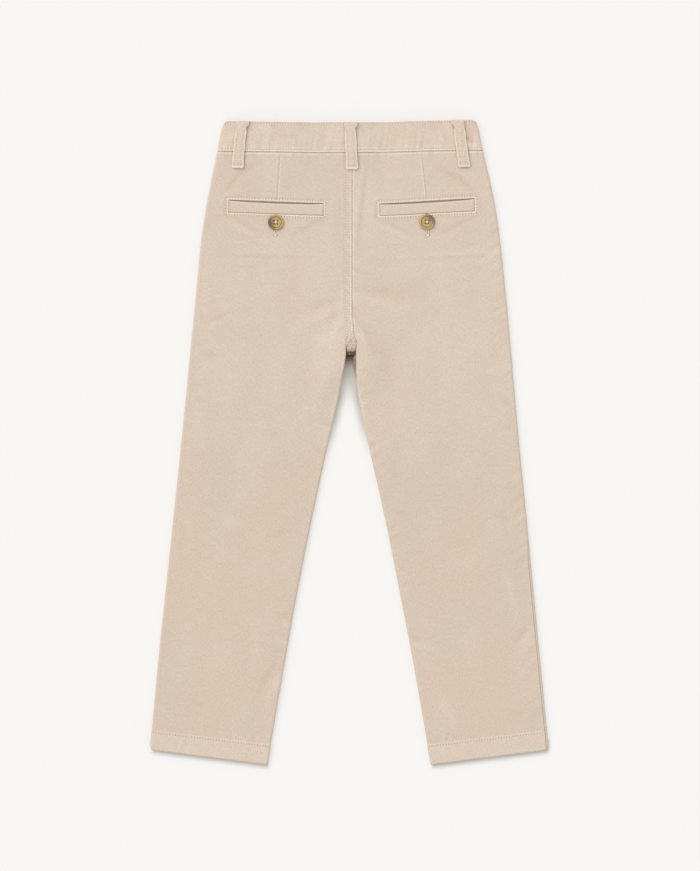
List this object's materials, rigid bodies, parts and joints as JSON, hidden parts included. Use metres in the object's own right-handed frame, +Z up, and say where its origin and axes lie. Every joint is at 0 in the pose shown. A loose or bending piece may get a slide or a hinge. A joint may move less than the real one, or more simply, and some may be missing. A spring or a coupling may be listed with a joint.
{
  "type": "chino trousers",
  "caption": "Child's chino trousers lying flat, back up: waistband, belt loops, buttoned welt back pockets, felled seat seam and hemmed legs.",
  "frame": {"origin": "middle of the garment's outline, on the surface that it lies on", "axes": "+Y towards the waist, +X towards the wearer's right, +Z up out of the back of the garment"},
  "size_m": [0.3984, 0.645, 0.0112],
  "materials": {
    "cloth": "garment-dyed beige cotton twill",
    "horn": "mottled horn-like resin, semi-gloss",
    "thread": "spun polyester sewing thread"
  },
  "bodies": {
    "root": {"back_panel_left": "cloth", "back_panel_right": "cloth", "front_panel_left": "cloth", "front_panel_right": "cloth", "pocket_welt_left": "cloth", "pocket_welt_right": "cloth", "pocket_bearer_back_left": "cloth", "pocket_bearer_back_right": "cloth", "pocket_bearer_front_left": "cloth", "pocket_bearer_front_right": "cloth", "waistband": "cloth", "belt_loop_back_left": "cloth", "belt_loop_back_centre": "cloth", "belt_loop_back_right": "cloth", "belt_loop_front_left": "cloth", "belt_loop_front_right": "cloth", "seat_seam": "cloth", "pocket_button_left": "horn", "pocket_button_right": "horn", "waist_button": "horn"}
  },
  "joints": []
}
